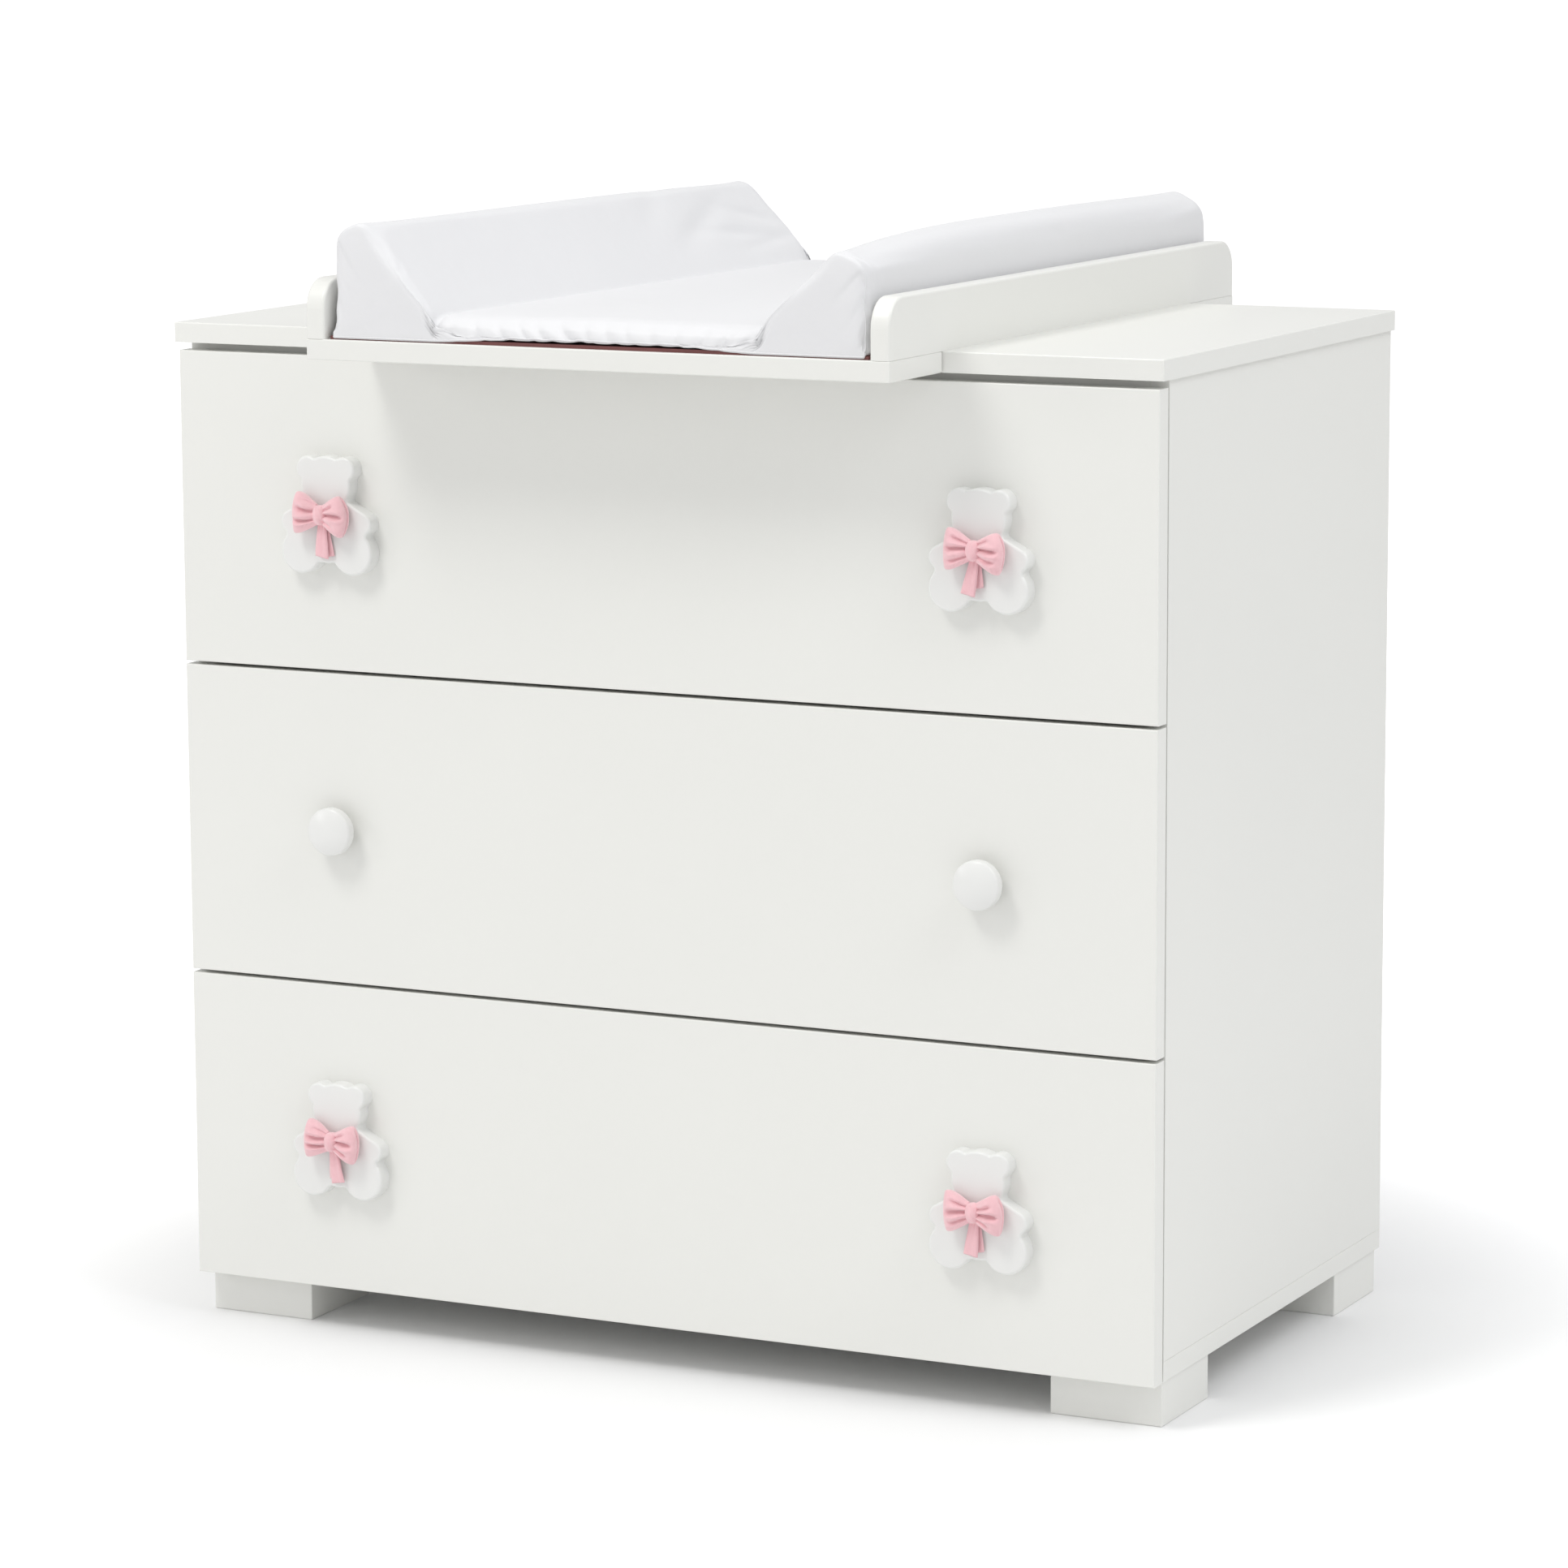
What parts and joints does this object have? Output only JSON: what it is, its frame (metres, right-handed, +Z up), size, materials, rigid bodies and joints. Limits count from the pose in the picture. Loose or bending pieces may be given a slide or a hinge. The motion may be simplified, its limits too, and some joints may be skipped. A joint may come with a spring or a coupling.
{
  "type": "changing table",
  "caption": "Baby changing table: drawer chest on block feet with bear-shaped and round handles, and a lift-off tray holding a changing mat with side bolsters.",
  "frame": {"origin": "on the floor under the middle of the cabinet top", "axes": "+Z up, the drawers open towards -Y, +X to the right seen from the front"},
  "size_m": [0.958, 0.757, 1.0163],
  "materials": {
    "white_lacquer": "satin white lacquer on board",
    "handle_paint": "satin white lacquer, rounded edges",
    "drawer_board": "matt white melamine board",
    "thin_board": "matt white hardboard",
    "dowel_wood": "fluted beech",
    "runner_steel": "zinc plated",
    "screw_steel": "zinc plated",
    "mat_cover": "smooth coated fabric with a soft sheen",
    "mat_base_board": "dark red-brown hardboard",
    "bow_cotton": "pink plain-weave cotton"
  },
  "bodies": {
    "cabinet": {"back_panel": "thin_board", "bottom_panel": "white_lacquer", "foot_front_left": "white_lacquer", "foot_front_right": "white_lacquer", "foot_rear_left": "white_lacquer", "foot_rear_right": "white_lacquer", "front_rail": "white_lacquer", "panel_dowels": "dowel_wood", "rear_rail": "white_lacquer", "runner_outer_bottom": "runner_steel", "runner_outer_middle": "runner_steel", "runner_outer_top": "runner_steel", "side_panel_left": "white_lacquer", "side_panel_right": "white_lacquer", "top_panel": "white_lacquer"},
    "drawer_bottom": {"bear_bow_bottom_left": "bow_cotton", "bear_bow_bottom_right": "bow_cotton", "bear_plate_bottom_left": "handle_paint", "bear_plate_bottom_right": "handle_paint", "drawer_bottom_back": "drawer_board", "drawer_bottom_bottom": "thin_board", "drawer_bottom_front": "white_lacquer", "drawer_bottom_side_left": "drawer_board", "drawer_bottom_side_right": "drawer_board", "handle_screws_bottom": "screw_steel", "runner_inner_bottom": "runner_steel"},
    "runner_mid_bottom": {"runner_mid_bottom": "runner_steel"},
    "drawer_middle": {"drawer_middle_back": "drawer_board", "drawer_middle_bottom": "thin_board", "drawer_middle_front": "white_lacquer", "drawer_middle_side_left": "drawer_board", "drawer_middle_side_right": "drawer_board", "handle_screws_middle": "screw_steel", "runner_inner_middle": "runner_steel", "knob_round_left": "handle_paint", "knob_round_right": "handle_paint"},
    "runner_mid_middle": {"runner_mid_middle": "runner_steel"},
    "drawer_top": {"bear_bow_top_left": "bow_cotton", "bear_bow_top_right": "bow_cotton", "bear_plate_top_left": "handle_paint", "bear_plate_top_right": "handle_paint", "drawer_top_back": "drawer_board", "drawer_top_bottom": "thin_board", "drawer_top_front": "white_lacquer", "drawer_top_side_left": "drawer_board", "drawer_top_side_right": "drawer_board", "handle_screws_top": "screw_steel", "runner_inner_top": "runner_steel"},
    "runner_mid_top": {"runner_mid_top": "runner_steel"},
    "tray": {"tray_board_front": "white_lacquer", "tray_board_rear": "white_lacquer", "tray_rail_left": "white_lacquer", "tray_rail_right": "white_lacquer", "tray_screws": "screw_steel"},
    "mat": {"mat_base_board": "mat_base_board", "mat_bolster_left": "mat_cover", "mat_bolster_right": "mat_cover", "mat_center_pad": "mat_cover"}
  },
  "joints": [
    {"name": "drawer_bottom_slide", "type": "slide", "parent": "cabinet", "child": "drawer_bottom", "axis": [0, -1, 0], "range_m": [0, 0.4]},
    {"name": "runner_mid_bottom_slide", "type": "slide", "parent": "cabinet", "child": "runner_mid_bottom", "axis": [0, -1, 0], "range_m": [0, 0.2]},
    {"name": "drawer_middle_slide", "type": "slide", "parent": "cabinet", "child": "drawer_middle", "axis": [0, -1, 0], "range_m": [0, 0.4]},
    {"name": "runner_mid_middle_slide", "type": "slide", "parent": "cabinet", "child": "runner_mid_middle", "axis": [0, -1, 0], "range_m": [0, 0.2]},
    {"name": "drawer_top_slide", "type": "slide", "parent": "cabinet", "child": "drawer_top", "axis": [0, -1, 0], "range_m": [0, 0.4]},
    {"name": "runner_mid_top_slide", "type": "slide", "parent": "cabinet", "child": "runner_mid_top", "axis": [0, -1, 0], "range_m": [0, 0.2]},
    {"name": "tray_lift", "type": "slide", "parent": "cabinet", "child": "tray", "axis": [0, 0, 1], "range_m": [0, 0.12]},
    {"name": "mat_lift", "type": "slide", "parent": "tray", "child": "mat", "axis": [0, 0, 1], "range_m": [0, 0.15]}
  ],
  "couplings": [
    {"joint": "runner_mid_bottom_slide", "follows": "drawer_bottom_slide", "ratio": 0.5},
    {"joint": "runner_mid_middle_slide", "follows": "drawer_middle_slide", "ratio": 0.5},
    {"joint": "runner_mid_top_slide", "follows": "drawer_top_slide", "ratio": 0.5}
  ]
}
